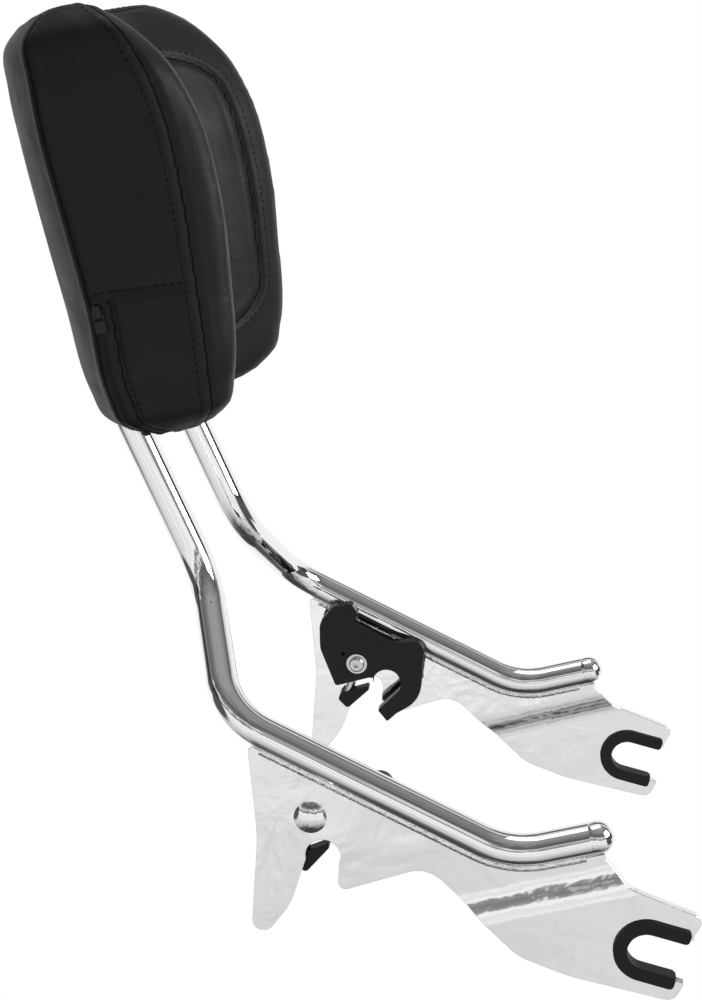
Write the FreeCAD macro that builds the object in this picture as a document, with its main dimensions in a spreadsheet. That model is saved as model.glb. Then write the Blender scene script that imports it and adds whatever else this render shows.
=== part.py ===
import FreeCAD, Part
import math
import os
from FreeCAD import Placement, Rotation, Vector

doc = FreeCAD.newDocument("sissy_bar")

# Driving sizes, in millimetres and degrees. X forward, Y to the left, Z up.
# The origin is the middle of the front docking axis, between the two front slots.
sizes = [
    ("tube_diameter", 22.0),
    ("tube_wall", 2.0),
    ("plate_span", 310.0),
    ("plate_thickness", 6.0),
    ("kink_x", -93.0),
    ("kink_z", 61.0),
    ("stub_length", 56.0),
    ("stub_slope", 15.5),
    ("run_length", 212.0),
    ("run_slope", 25.7),
    ("splay_setback", 28.5),
    ("splay_rise", 68.0),
    ("upright_spacing", 140.0),
    ("upright_length", 130.5),
    ("upright_lean", 24.0),
    ("loop_rise", 150.0),
    ("kink_bend", 60.0),
    ("splay_bend", 48.0),
    ("upright_bend", 60.0),
    ("lean_bend", 90.0),
    ("loop_bend", 42.0),
    ("end_cap_collar", 4.0),
    ("end_cap_proud", 0.2),
    ("end_cap_plug", 7.0),
    ("plate_gap", 0.6),
    ("weld_gap", 0.05),
    ("weld_radius", 3.4),
    ("joggle_step", 6.0),
    ("joggle_length", 27.0),
    ("joggle_slope", 16.5),
    ("joggle_x", -128.0),
    ("joggle_z", 31.4),
    ("slot_slope", 14.0),
    ("slot_bore_radius", 13.0),
    ("liner_wall", 3.0),
    ("liner_flange", 6.5),
    ("liner_flange_thickness", 2.0),
    ("liner_clearance", 0.1),
    ("liner_upper_arm", 25.0),
    ("liner_lower_arm", 24.5),
    ("pivot_x", -228.0),
    ("pivot_z", 82.5),
    ("post_dx", 8.5),
    ("post_dz", -28.5),
    ("notch_radius", 12.0),
    ("latch_thickness", 9.0),
    ("latch_tube_gap", 0.7),
    ("hub_radius", 14.0),
    ("recess_radius", 12.5),
    ("pivot_radius", 5.0),
    ("running_clearance", 0.06),
    ("side_play", 0.3),
    ("friction_washer_radius", 12.0),
    ("friction_washer_thickness", 0.8),
    ("pivot_head_radius", 11.2),
    ("pivot_head_height", 5.5),
    ("pivot_head_rim", 1.2),
    ("washer_radius", 8.7),
    ("washer_thickness", 1.6),
    ("screw_radius", 3.0),
    ("screw_head_radius", 6.4),
    ("screw_head_height", 3.4),
    ("screw_socket", 4.0),
    ("screw_length", 14.0),
    ("stud_radius", 3.0),
    ("stud_length", 27.0),
    ("stud_bury", 7.0),
    ("bumper_width", 9.0),
    ("latch_lead", 6.0),
    ("pad_lean", 12.0),
    ("pad_height", 284.0),
    ("pad_half_width", 118.0),
    ("pad_entry", 16.0),
    ("pad_drop", 12.0),
    ("pad_back", 59.0),
    ("pad_seam_back", 9.0),
    ("pad_seam_front", 68.0),
    ("pad_wing", 90.0),
    ("pad_hollow", 24.0),
    ("cover_thickness", 2.0),
    ("inset_half_width", 82.0),
    ("inset_low", 38.0),
    ("inset_top_margin", 36.0),
    ("inset_corner", 34.0),
    ("hem_height", 100.0),
    ("hem_margin", 8.0),
    ("zip_width", 15.0),
    ("zip_travel", 50.0),
    ("foam_clearance", 0.3),
    ("foam_ease", 0.8),
    ("board_thickness", 6.0),
    ("board_half_width", 92.0),
    ("board_low", 34.0),
    ("board_top_margin", 32.0),
    ("strap_thickness", 4.0),
    ("strap_height", 24.0),
    ("strap_half_width", 80.0),
    ("strap_low", 57.0),
    ("strap_high", 124.0),
    ("strap_hole_y", 35.0),
    ("strap_screw_radius", 3.0),
    ("strap_screw_head", 6.0),
    ("slider_width", 5.0),
    ("slider_length", 8.0),
    ("slider_height", 3.0),
    ("pull_arm", 6.0),
    ("pull_arm_width", 0.9),
    ("pull_side_gap", 0.4),
    ("pull_length", 8.0),
    ("pull_thickness", 1.0),
]

sheet = doc.addObject("Spreadsheet::Sheet", "Sizes")
for row, (alias, number) in enumerate(sizes, start=1):
    sheet.set("A%d" % row, alias)
    sheet.set("B%d" % row, str(number))
    sheet.setAlias("B%d" % row, alias)
doc.recompute()


def size(alias):
    return float(getattr(sheet, alias))


def polar(length, degrees):
    angle = math.radians(degrees)
    return length * math.cos(angle), length * math.sin(angle)


tubeRadius = size("tube_diameter") / 2
plateOuter = size("plate_span") / 2
plateInner = plateOuter - size("plate_thickness")
plateMiddle = (plateOuter + plateInner) / 2
uprightY = size("upright_spacing") / 2
sides = (("right", -1), ("left", 1))
nodes = []


def keep(item, label):
    """Name a finished sub-part."""
    item.Label = label
    nodes.append(item)
    return item


def place(item, placement):
    item.Placement = placement
    return item


def feature(name, shape):
    item = doc.addObject("Part::Feature", name)
    item.Shape = shape
    return item


def combine(kind, name, base, tool):
    item = doc.addObject(kind, name)
    item.Base = base
    item.Tool = tool
    return item


def fuse(name, parts):
    item = doc.addObject("Part::MultiFuse", name)
    item.Shapes = parts
    return item


def cylinder(name, radius, height, base, axis):
    """A Part cylinder whose radius and height are expressions on the sheet."""
    item = doc.addObject("Part::Cylinder", name)
    item.setExpression("Radius", radius)
    item.setExpression("Height", height)
    item.Placement = Placement(base, Rotation(Vector(0, 0, 1), axis))
    return item


def rounded(corners):
    """Closed outline in a plane from (x, y, corner radius) as lines and tangent arcs."""
    pieces = []
    count = len(corners)
    ends = []
    for i, (x, y, radius) in enumerate(corners):
        here = Vector(x, y, 0)
        back = Vector(*corners[i - 1][:2], 0) - here
        ahead = Vector(*corners[(i + 1) % count][:2], 0) - here
        back.normalize()
        ahead.normalize()
        half = back.getAngle(ahead) / 2
        if radius == 0:
            ends.append((here, None, here))
            continue
        reach = radius / math.tan(half)
        middle = back + ahead
        middle.normalize()
        nearest = here + middle * (radius / math.sin(half) - radius)
        ends.append((here + back * reach, nearest, here + ahead * reach))
    for i, (start, nearest, stop) in enumerate(ends):
        if nearest is not None:
            pieces.append(Part.Arc(start, nearest, stop))
        pieces.append(Part.LineSegment(stop, ends[(i + 1) % count][0]))
    return pieces


def bent(points, radii):
    """Open path through points with a tangent arc of each radius at the inner points."""
    edges = []
    start = points[0]
    for here, after, radius in zip(points[1:-1], points[2:], radii):
        back = (start - here).normalize()
        ahead = (after - here).normalize()
        half = back.getAngle(ahead) / 2
        reach = radius / math.tan(half)
        middle = (back + ahead).normalize()
        nearest = here + middle * (radius / math.sin(half) - radius)
        edges.append(Part.LineSegment(start, here + back * reach).toShape())
        edges.append(Part.Arc(here + back * reach, nearest, here + ahead * reach).toShape())
        start = here + ahead * reach
    edges.append(Part.LineSegment(start, points[-1]).toShape())
    return Part.Wire(edges)


def swept(name, path, radius):
    """A round bar of the given radius expression along a path."""
    spine = feature(name + "_path", path)
    first = path.OrderedEdges[0]
    heading = first.tangentAt(first.FirstParameter)
    ring = doc.addObject("Part::Circle", name + "_ring")
    ring.setExpression("Radius", radius)
    ring.Placement = Placement(first.valueAt(first.FirstParameter), Rotation(Vector(0, 0, 1), heading))
    sweep = doc.addObject("Part::Sweep", name)
    sweep.Sections = [ring]
    sweep.Spine = (spine, ["Edge%d" % (i + 1) for i in range(len(path.Edges))])
    sweep.Solid = True
    sweep.Frenet = False
    return sweep


def sideOffset(side, inner, thickness):
    """Distance along the sketch normal (minus Y) of a slab that starts at an inner |Y|."""
    return inner if side < 0 else -(inner + thickness)


def sketch(body, name, offset, curves):
    """A sketch on the body's own XZ plane, moved along its normal."""
    plane = [f for f in body.Origin.OriginFeatures if f.Role == "XZ_Plane"][0]
    item = body.newObject("Sketcher::SketchObject", name)
    item.AttachmentSupport = [(plane, "")]
    item.MapMode = "FlatFace"
    item.AttachmentOffset = Placement(Vector(0, 0, offset), Rotation())
    item.addGeometry(curves, False)
    return item


def pad(body, profile, length):
    item = body.newObject("PartDesign::Pad", profile.Name + "_pad")
    item.Profile = profile
    item.setExpression("Length", length)
    profile.Visibility = False
    return item


def pocket(body, profile):
    """Cut right through on both sides of the sketch."""
    item = body.newObject("PartDesign::Pocket", profile.Name + "_cut")
    item.Profile = profile
    item.Type = 1
    item.Midplane = True
    profile.Visibility = False
    return item


# Bar tube: one bent tube, closed at the top inside the pad.
def barPoints(side):
    middle = side * plateMiddle
    kink = Vector(size("kink_x"), middle, size("kink_z"))
    dx, dz = polar(size("stub_length"), size("stub_slope"))
    front = kink + Vector(dx, 0, dz)
    dx, dz = polar(size("run_length"), size("run_slope"))
    rear = kink + Vector(-dx, 0, dz)
    low = Vector(rear.x - size("splay_setback"), side * uprightY, rear.z + size("splay_rise"))
    rise, back = polar(size("upright_length"), size("upright_lean"))
    entry = low + Vector(-back, 0, rise)
    rise, back = polar(size("loop_rise"), size("pad_lean"))
    top = entry + Vector(-back, 0, rise)
    return [front, kink, rear, low, entry, top]


rightBar = barPoints(-1)
leftBar = barPoints(1)
frontEnd, kink, rearBend, lowBend, padEntry, loopCorner = rightBar
bends = [size(n) for n in ("kink_bend", "splay_bend", "upright_bend", "lean_bend", "loop_bend")]
barPath = bent(rightBar + leftBar[::-1], bends + bends[::-1])
tubeOuter = swept("tube_outside", barPath, "Sizes.tube_diameter / 2")
tubeInner = swept("tube_inside", barPath, "Sizes.tube_diameter / 2 - Sizes.tube_wall")
keep(combine("Part::Cut", "bar_tube", tubeOuter, tubeInner), "sissy_bar_tube")
foamTube = swept("tube_room", barPath, "Sizes.tube_diameter / 2 + Sizes.foam_clearance")


# Domed end caps, plugged into the front ends of the tube.
def endCap(label, end, heading):
    collar = cylinder(label + "_collar", "Sizes.tube_diameter / 2 + Sizes.end_cap_proud",
                      "Sizes.end_cap_collar", end, heading)
    plug = cylinder(label + "_plug", "Sizes.tube_diameter / 2 - Sizes.tube_wall - Sizes.weld_gap",
                    "Sizes.end_cap_plug", end - heading * size("end_cap_plug"), heading)
    dome = doc.addObject("Part::Sphere", label + "_dome")
    dome.setExpression("Radius", "Sizes.tube_diameter / 2 + Sizes.end_cap_proud")
    dome.Angle1 = 0
    dome.Placement = Placement(end + heading * size("end_cap_collar"), Rotation(Vector(0, 0, 1), heading))
    return keep(fuse(label + "_all", [collar, plug, dome]), label)


for word, side in sides:
    front, bend = barPoints(side)[:2]
    endCap("tube_end_cap_" + word, front, (front - bend).normalize())


# Side plates: a flat upper part under the tube, stepped outwards along a slanted double bend.
plateDrop = tubeRadius + size("plate_gap")
runDx, runDz = polar(1.0, size("run_slope"))
stubDx, stubDz = polar(1.0, size("stub_slope"))
postX = size("pivot_x") + size("post_dx")
postZ = size("pivot_z") + size("post_dz")


def underTube(x, drop):
    """Height of the line that runs a given distance below the tube's axis."""
    if x < size("kink_x"):
        return size("kink_z") + (size("kink_x") - x) * runDz / runDx - drop / runDx
    return size("kink_z") + (x - size("kink_x")) * stubDz / stubDx - drop / stubDx


def underKink(drop):
    """Corner where the two lines below the tube's axis meet."""
    turn = (size("run_slope") + size("stub_slope")) / 2
    lean = math.radians(90 + (size("stub_slope") - size("run_slope")) / 2)
    reach = drop / math.cos(math.radians(turn))
    return size("kink_x") - reach * math.cos(lean), size("kink_z") - reach * math.sin(lean)


plateRear = size("pivot_x") - 39.5
plateFront = frontEnd.x + 9.5
plateKink = underKink(plateDrop)
forkTop = size("slot_bore_radius") + size("liner_wall") + 13
forkLow = size("slot_bore_radius") + size("liner_wall") + 18
plateCorners = [
    (plateRear - 3, underTube(plateRear - 3, plateDrop), 3),
    (plateRear + 3, postZ + 12, 150),
    (plateRear - 2, postZ - 59, 7),
    (plateRear + 10, postZ - 59, 7),
    (plateRear + 25.5, postZ - 38, 60),
    (postX - size("notch_radius") + 0.8, postZ - 1, 0),
    (postX + size("notch_radius") - 0.8, postZ - 1, 0),
    (postX + size("notch_radius") - 2, postZ - 26.5, 5),
    (postX + 71, postZ - 4, 22),
    (postX + 134, postZ - 64.5, 36),
    (-50, -size("slot_bore_radius") - 10.3, 90),
    (19.5, -forkLow - 3.5, 8),
    (25.5, -forkLow + 9, 3),
    (31, forkTop - 16, 3),
    (37.5, forkTop - 3.5, 6),
    (-14, forkTop + 16.0, 20),
    (plateFront - 1, forkTop + 35, 3),
    (plateFront, underTube(plateFront, plateDrop), 0),
    (plateKink[0], plateKink[1], size("kink_bend") + plateDrop),
]


def slotCurves(radius):
    """A U that opens forward and down, round about the origin."""
    dx, dz = polar(1.0, -size("slot_slope"))
    reach = size("liner_upper_arm") * 3
    top = Vector(-dz, dx, 0) * radius
    ahead = Vector(dx, dz, 0) * reach
    arc = Part.Arc(top, Vector(-dx, -dz, 0) * radius, -top)
    lines = [Part.LineSegment(-top, ahead - top), Part.LineSegment(ahead - top, ahead + top),
             Part.LineSegment(ahead + top, top)]
    return [arc] + lines


def foldedSheet(side):
    """Sheet of the plate's thickness with the double bend, much larger than the plate."""
    dx, dz = polar(1.0, size("joggle_slope"))
    along = Vector(dx, 0, dz)
    across = Vector(along.z, 0, -along.x)
    start = Vector(size("joggle_x"), 0, size("joggle_z"))
    step, length, half = size("joggle_step"), size("joggle_length"), size("plate_thickness") / 2
    radius = (length ** 2 + step ** 2) / (4 * step)
    sweepAngle = 2 * math.atan(step / length)
    far = 400.0

    def point(n, q):
        return start + across * n + Vector(0, side * q, 0)

    def face(shift):
        """Edges of one face of the sheet, from the upper end to the lower end."""
        inner, outer = radius - shift, radius + shift
        upCentre = plateMiddle + radius
        lowCentre = plateMiddle + step - radius
        marks = []
        for turn in (0, sweepAngle / 2, sweepAngle):
            marks.append(point(inner * math.sin(turn), upCentre - inner * math.cos(turn)))
        for turn in (sweepAngle / 2, 0):
            marks.append(point(length - outer * math.sin(turn), lowCentre + outer * math.cos(turn)))
        return [Part.LineSegment(point(-far, plateMiddle + shift), marks[0]).toShape(),
                Part.Arc(marks[0], marks[1], marks[2]).toShape(),
                Part.Arc(marks[2], marks[3], marks[4]).toShape(),
                Part.LineSegment(marks[4], point(far, plateMiddle + step + shift)).toShape()]

    upper, lower = face(half), face(-half)
    ends = [Part.LineSegment(point(n, q + half), point(n, q - half)).toShape()
            for n, q in ((-far, plateMiddle), (far, plateMiddle + step))]
    outline = Part.Wire(Part.__sortEdges__(upper + lower + ends))
    solid = Part.Face(outline).extrude(along * 2 * far)
    solid.translate(along * -far)
    return solid


def sidePlate(word, side):
    body = doc.addObject("PartDesign::Body", "plate_blank_" + word)
    deep = "2 * Sizes.plate_thickness + 2 * Sizes.joggle_step"
    start = plateInner - size("joggle_step")
    offset = sideOffset(side, start, 2 * size("plate_thickness") + 2 * size("joggle_step"))
    pad(body, sketch(body, "plate_outline_" + word, offset, rounded(plateCorners)), deep)
    slot = slotCurves(size("slot_bore_radius") + size("liner_wall") + size("liner_clearance"))
    pocket(body, sketch(body, "plate_slot_" + word, offset, slot))
    hole = Part.Circle(Vector(size("pivot_x"), size("pivot_z"), 0), Vector(0, 0, 1),
                       size("pivot_radius") + size("running_clearance"))
    pocket(body, sketch(body, "plate_hole_" + word, offset, [hole]))
    notch = Part.Circle(Vector(postX, postZ, 0), Vector(0, 0, 1), size("notch_radius"))
    pocket(body, sketch(body, "plate_notch_" + word, offset, [notch]))
    fold = feature("plate_fold_" + word, foldedSheet(side))
    return keep(combine("Part::Common", "plate_" + word, body, fold), "side_plate_" + word)


plates = {}
for word, side in sides:
    plates[word] = sidePlate(word, side)


# Weld beads: one down each face of a plate, along the underside of the tube.
def weldBead(word, side):
    beads = []
    rootDrop = math.sqrt(tubeRadius ** 2 - (size("plate_thickness") / 2) ** 2)
    corner = underKink(rootDrop)
    rearX, frontX = plateRear + 6, frontEnd.x - 3
    for face, q in (("inner", plateInner), ("outer", plateOuter)):
        y = side * q
        line = [Vector(rearX, y, underTube(rearX, rootDrop)), Vector(corner[0], y, corner[1]),
                Vector(frontX, y, underTube(frontX, rootDrop))]
        name = "weld_%s_%s" % (face, word)
        rod = swept(name, bent(line, [size("kink_bend") + rootDrop]), "Sizes.weld_radius")
        noTube = combine("Part::Cut", name + "_under_tube", rod, tubeOuter)
        beads.append(combine("Part::Cut", name + "_on_plate", noTube, plates[word]))
    bead = doc.addObject("Part::Compound", "weld_" + word)
    bead.Links = beads
    return keep(bead, "weld_bead_" + word)


for word, side in sides:
    weldBead(word, side)


# Slot liners: a moulded C with a flange on each face of the plate.
def linerArm(away, ahead, inner, outer, reach):
    """Straight arm on one side of the slot with two rounded corners at its tip."""
    turn = 0.3 * (outer - inner)
    near = reach - turn
    bulge = (away + ahead) * (turn / math.sqrt(2))
    low = away * (inner + turn) + ahead * near
    high = away * (outer - turn) + ahead * near
    inward = (ahead - away) * (turn / math.sqrt(2))
    return [Part.LineSegment(away * outer, away * outer + ahead * near),
            Part.Arc(away * outer + ahead * near, high + bulge, high + ahead * turn),
            Part.LineSegment(high + ahead * turn, low + ahead * turn),
            Part.Arc(low + ahead * turn, low + inward, away * inner + ahead * near),
            Part.LineSegment(away * inner + ahead * near, away * inner)]


def linerCurves(inner, outer):
    """C outline between two radii, round at the back, with two straight arms."""
    dx, dz = polar(1.0, -size("slot_slope"))
    ahead, up = Vector(dx, dz, 0), Vector(-dz, dx, 0)
    curves = [Part.Arc(up * radius, -ahead * radius, -up * radius) for radius in (inner, outer)]
    curves += linerArm(up, ahead, inner, outer, size("liner_upper_arm"))
    return curves + linerArm(-up, ahead, inner, outer, size("liner_lower_arm"))


def slotLiner(word, side):
    body = doc.addObject("PartDesign::Body", "liner_" + word)
    inner = size("slot_bore_radius")
    web = inner + size("liner_wall")
    rim = web + size("liner_flange")
    flange = size("liner_flange_thickness")
    low = plateInner + size("joggle_step") - size("liner_clearance")
    wide = size("plate_thickness") + 2 * size("liner_clearance")
    layers = (("web", web, low, wide, "Sizes.plate_thickness + 2 * Sizes.liner_clearance"),
              ("inner", rim, low - flange, flange, "Sizes.liner_flange_thickness"),
              ("outer", rim, low + wide, flange, "Sizes.liner_flange_thickness"))
    for name, radius, start, thickness, length in layers:
        offset = sideOffset(side, start, thickness)
        pad(body, sketch(body, "liner_%s_%s" % (name, word), offset, linerCurves(inner, radius)), length)
    return keep(body, "slot_liner_" + word)


for word, side in sides:
    slotLiner(word, side)


# Rotary latches. Their outline is about the pivot, as the left one stands.
latchOuter = plateMiddle - tubeRadius - size("latch_tube_gap")
latchInner = latchOuter - size("latch_thickness")
hubEnd = plateInner - size("friction_washer_thickness") - size("side_play") / 2
recessReach = math.hypot(size("post_dx"), size("post_dz"))
recessTurn = -35.5
recessX, recessZ = polar(recessReach, recessTurn)
hookRim = size("recess_radius") + 18.5
hookBox = [
    (-19.5, 49.5, 5), (-31.5, 35, 16), (-31.0, 12, 18), (-18.0, -21.0, 2.5),
    (11.0, -12.2, 2.0), (13.5, -13.5, 1.0), (recessX - 11.5, recessZ + 12.5, 11.0),
    (recessX + 12.5, recessZ + 12.5, 11.5), (recessX + 12.5, recessZ - 4.5, 6.0),
    (recessX - 6.5, recessZ - 24.0, 1.5), (recessX + 1.5, recessZ - 34.0, 1.5),
    (recessX + 9.0, recessZ - 26.5, 5.0), (recessX + hookRim - 2, recessZ - 13.5, 26.0),
    (recessX + hookRim + 1.5, recessZ + 39.5, 9.0), (recessX + 4.0, recessZ + 36.5, 16.0),
    (-4.0, 36.0, 2.0), (1.5, 43.0, 5.0), (-5.0, 52.5, 4.0),
]
thumbTop = [(-15.2, 50.6), (-11.8, 51.2), (-8.4, 51.9)]


def turned(side):
    """The right latch stands further open than the left one."""
    centre = Vector(size("pivot_x"), 0, size("pivot_z"))
    lead = size("latch_lead") if side < 0 else 0.0
    return Placement(Vector(), Rotation(Vector(0, 1, 0), -lead), centre)


def aboutPivot(corners):
    return [(size("pivot_x") + x, size("pivot_z") + z, r) for x, z, r in corners]


def circle(x, z, radius):
    return [Part.Circle(Vector(size("pivot_x") + x, size("pivot_z") + z, 0), Vector(0, 0, 1), radius)]


studDx, studDz = polar(1.0, -106.0)
studDirection = Vector(studDx, 0, studDz)
studStart = 15.5


def studPoint(reach, q, side):
    """Point on the bumper stud's axis at a distance from the pivot."""
    base = Vector(size("pivot_x"), side * q, size("pivot_z"))
    return base + studDirection * reach


studQ = (latchOuter + hubEnd) / 2
studTop = studStart - size("stud_bury")


hubStand = "(Sizes.tube_diameter - Sizes.plate_thickness) / 2 + Sizes.latch_tube_gap" \
           " - Sizes.friction_washer_thickness - Sizes.side_play / 2"
barrelLength = "(Sizes.tube_diameter + Sizes.plate_thickness) / 2 + Sizes.latch_tube_gap" \
               " + Sizes.latch_thickness + Sizes.side_play / 2"


def latchHook(word, side):
    body = doc.addObject("PartDesign::Body", "hook_" + word)
    offset = sideOffset(side, latchInner, size("latch_thickness"))
    outline = sketch(body, "hook_outline_" + word, offset, rounded(aboutPivot(hookBox)))
    pad(body, outline, "Sizes.latch_thickness")
    hubLength = hubEnd - latchOuter
    hubOffset = sideOffset(side, latchOuter, hubLength)
    pad(body, sketch(body, "hook_hub_" + word, hubOffset, circle(0, 0, size("hub_radius"))), hubStand)
    bore = circle(0, 0, size("pivot_radius") + size("running_clearance"))
    pocket(body, sketch(body, "hook_bore_" + word, offset, bore))
    pocket(body, sketch(body, "hook_detent_" + word, offset, circle(-11.7, 7.9, 1.6)))
    for i, (x, z) in enumerate(thumbTop):
        pocket(body, sketch(body, "hook_groove_%d_%s" % (i, word), offset, circle(x, z, 1.1)))
    drill = cylinder("hook_drill_" + word, "Sizes.stud_radius", "Sizes.stud_length",
                     studPoint(studTop, studQ, side), studDirection)
    item = combine("Part::Cut", "hook_cut_" + word, body, drill)
    return keep(place(item, turned(side)), "latch_hook_" + word)


for word, side in sides:
    latchHook(word, side)


# Bumper: a rubber wedge on a short threaded stud under each latch hub.
def bumper(word, side):
    stud = cylinder("stud_" + word, "Sizes.stud_radius", "Sizes.stud_length",
                    studPoint(studTop, studQ, side), studDirection)
    keep(place(stud, turned(side).multiply(stud.Placement)), "bumper_stud_" + word)
    body = doc.addObject("PartDesign::Body", "bumper_" + word)
    corners = [(-14.0, -31.0, 2), (-17.2, -36.0, 3), (-9.0, -44.5, 3), (9.5, -26.5, 1.5), (8.5, -23.5, 1.0)]
    offset = sideOffset(side, studQ - size("bumper_width") / 2, size("bumper_width"))
    outline = sketch(body, "bumper_outline_" + word, offset, rounded(aboutPivot(corners)))
    pad(body, outline, "Sizes.bumper_width")
    room = cylinder("bumper_hole_" + word, "Sizes.stud_radius", "Sizes.stud_length",
                    studPoint(studTop, studQ, side), studDirection)
    item = combine("Part::Cut", "bumper_cut_" + word, body, room)
    return keep(place(item, turned(side)), "bumper_pad_" + word)


for word, side in sides:
    bumper(word, side)


# Pivot: a domed post from outside, a washer and a button screw from inside.
def onPivot(side, q):
    return Vector(size("pivot_x"), side * q, size("pivot_z"))


def pivot(word, side):
    outward = Vector(0, side, 0)
    washerStart = latchInner - size("side_play") / 2
    rim = cylinder("post_rim_" + word, "Sizes.pivot_head_radius", "Sizes.pivot_head_rim",
                   onPivot(side, plateOuter), outward)
    rise = size("pivot_head_height") - size("pivot_head_rim")
    ball = (size("pivot_head_radius") ** 2 + rise ** 2) / (2 * rise)
    dome = doc.addObject("Part::Sphere", "post_dome_" + word)
    dome.Radius = ball
    dome.Angle1 = math.degrees(math.asin((ball - rise) / ball))
    centre = onPivot(side, plateOuter + size("pivot_head_rim") - (ball - rise))
    dome.Placement = Placement(centre, Rotation(Vector(0, 0, 1), outward))
    barrel = cylinder("post_barrel_" + word, "Sizes.pivot_radius", barrelLength,
                      onPivot(side, washerStart), outward)
    thread = cylinder("post_thread_" + word, "Sizes.screw_radius + Sizes.weld_gap", "Sizes.screw_length + 1",
                      onPivot(side, washerStart - 0.5), outward)
    solid = fuse("post_solid_" + word, [rim, dome, barrel])
    keep(combine("Part::Cut", "post_" + word, solid, thread), "pivot_post_" + word)

    disc = cylinder("washer_disc_" + word, "Sizes.washer_radius", "Sizes.washer_thickness",
                    onPivot(side, washerStart - size("washer_thickness")), outward)
    hole = cylinder("washer_hole_" + word, "Sizes.screw_radius + Sizes.weld_gap",
                    "Sizes.washer_thickness + 2", onPivot(side, washerStart - size("washer_thickness") - 1), outward)
    keep(combine("Part::Cut", "washer_" + word, disc, hole), "pivot_washer_" + word)

    seat = washerStart - size("washer_thickness")
    shank = cylinder("screw_shank_" + word, "Sizes.screw_radius", "Sizes.screw_length",
                     onPivot(side, seat), outward)
    head = cylinder("screw_head_" + word, "Sizes.screw_head_radius", "Sizes.screw_head_height",
                    onPivot(side, seat), -outward)
    screw = doc.addObject("Part::Fillet", "screw_round_" + word)
    screw.Base = head
    doc.recompute()
    rims = [i for i, edge in enumerate(head.Shape.Edges) if edge.isClosed()]
    farEdge = min(rims, key=lambda i: abs(head.Shape.Edges[i].CenterOfMass.y))
    screw.Edges = [(farEdge + 1, size("screw_head_height") * 0.6, size("screw_head_height") * 0.6)]
    socket = doc.addObject("Part::Prism", "screw_socket_" + word)
    socket.Polygon = 6
    socket.setExpression("Circumradius", "Sizes.screw_socket / 1.732")
    socket.setExpression("Height", "Sizes.screw_head_height")
    socket.Placement = Placement(onPivot(side, seat - size("screw_head_height") * 1.25),
                                 Rotation(Vector(0, 0, 1), outward))
    whole = fuse("screw_whole_" + word, [shank, screw])
    keep(combine("Part::Cut", "screw_" + word, whole, socket), "pivot_screw_" + word)

    ringStart = plateInner - size("friction_washer_thickness")
    ring = cylinder("friction_disc_" + word, "Sizes.friction_washer_radius",
                    "Sizes.friction_washer_thickness", onPivot(side, ringStart), outward)
    bore = cylinder("friction_bore_" + word, "Sizes.pivot_radius + Sizes.running_clearance",
                    "Sizes.friction_washer_thickness + 2", onPivot(side, ringStart - 1), outward)
    keep(combine("Part::Cut", "friction_" + word, ring, bore), "friction_washer_" + word)


for word, side in sides:
    pivot(word, side)


# Backrest pad, in its own frame: v forward, Y across, u up along the pad.
padTurn = Rotation(Vector(0, 1, 0), -size("pad_lean"))
padBase = (Vector(padEntry.x + size("pad_entry"), 0, padEntry.z)
           - padTurn.multVec(Vector(0, 0, size("pad_drop"))))
padFrame = Placement(padBase, padTurn)
tubeV = padFrame.inverse().multVec(Vector(padEntry.x, 0, padEntry.z)).x

# Each row: share of the height, then how far in from the full form the side, the back,
# the back seam, the front seam, the wing and the hollow lie at that height.
padRows = [
    (0.00, 24.0, 22.0, 12.0, 26.0, 44.0, 16.0),
    (0.035, 7.0, 12.0, 1.0, 15.0, 28.0, 8.0),
    (0.10, 1.5, 7.0, -3.0, 11.0, 19.0, 3.0),
    (0.33, 0.0, 3.0, -2.0, 4.5, 6.0, 0.0),
    (0.54, 0.0, 1.0, -3.5, 0.0, 0.0, 0.0),
    (0.73, 0.0, 0.5, -5.0, 0.0, 4.0, 1.0),
    (0.865, 1.0, 1.5, -3.0, 8.0, 19.0, 6.0),
    (0.957, 8.0, 6.0, -1.0, 21.0, 42.0, 15.0),
    (1.00, 24.0, 17.0, 8.0, 36.0, 59.0, 26.0),
]


def padSection(row, inset):
    """One level outline of the pad: back arc, two straight sides, hollow front."""
    share, side, back, backSeam, frontSeam, wing, hollow = row
    u = min(max(share * size("pad_height"), inset), size("pad_height") - inset)
    w = size("pad_half_width") - side - inset
    vBack = -size("pad_back") + back + inset
    vSeam = -size("pad_seam_back") + backSeam + inset
    vFront = size("pad_seam_front") - frontSeam - inset
    vWing = size("pad_wing") - wing - inset
    vHollow = size("pad_hollow") - hollow - inset
    half = [Vector(vFront, w, u), Vector(vFront + (vWing - vFront) * 0.72, w - 5.5, u),
            Vector(vWing, w - 20.0, u), Vector(vHollow + (vWing - vHollow) * 0.42, w * 0.5, u)]
    marks = half + [Vector(vHollow, 0, u)] + [Vector(p.x, -p.y, p.z) for p in half[::-1]]
    front = Part.BSplineCurve()
    front.interpolate(marks)
    corner = Vector(vSeam, w, u)
    mirrored = Vector(vSeam, -w, u)
    edges = [Part.Arc(mirrored, Vector(vBack, 0, u), corner).toShape(),
             Part.LineSegment(corner, marks[0]).toShape(), front.toShape(),
             Part.LineSegment(marks[-1], mirrored).toShape()]
    return Part.Wire(edges)


def padSolid(inset):
    return Part.makeLoft([padSection(row, inset) for row in padRows], True, False)


def seamPrism(seam, shift, ahead):
    """Everything in front of (or behind) a seam's side view, right across the pad."""
    marks = []
    for row in padRows:
        v = size("pad_seam_front") - row[4] if seam == "front" else row[3] - size("pad_seam_back")
        marks.append(Vector(v + shift, 150, row[0] * size("pad_height")))
    beyond = 40
    far = 300 if ahead else -300
    marks = [marks[0] - Vector(0, 0, beyond)] + marks + [marks[-1] + Vector(0, 0, beyond)]
    corners = marks + [Vector(far, 150, marks[-1].z), Vector(far, 150, marks[0].z), marks[0]]
    return Part.Face(Part.makePolygon(corners)).extrude(Vector(0, -300, 0))


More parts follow.
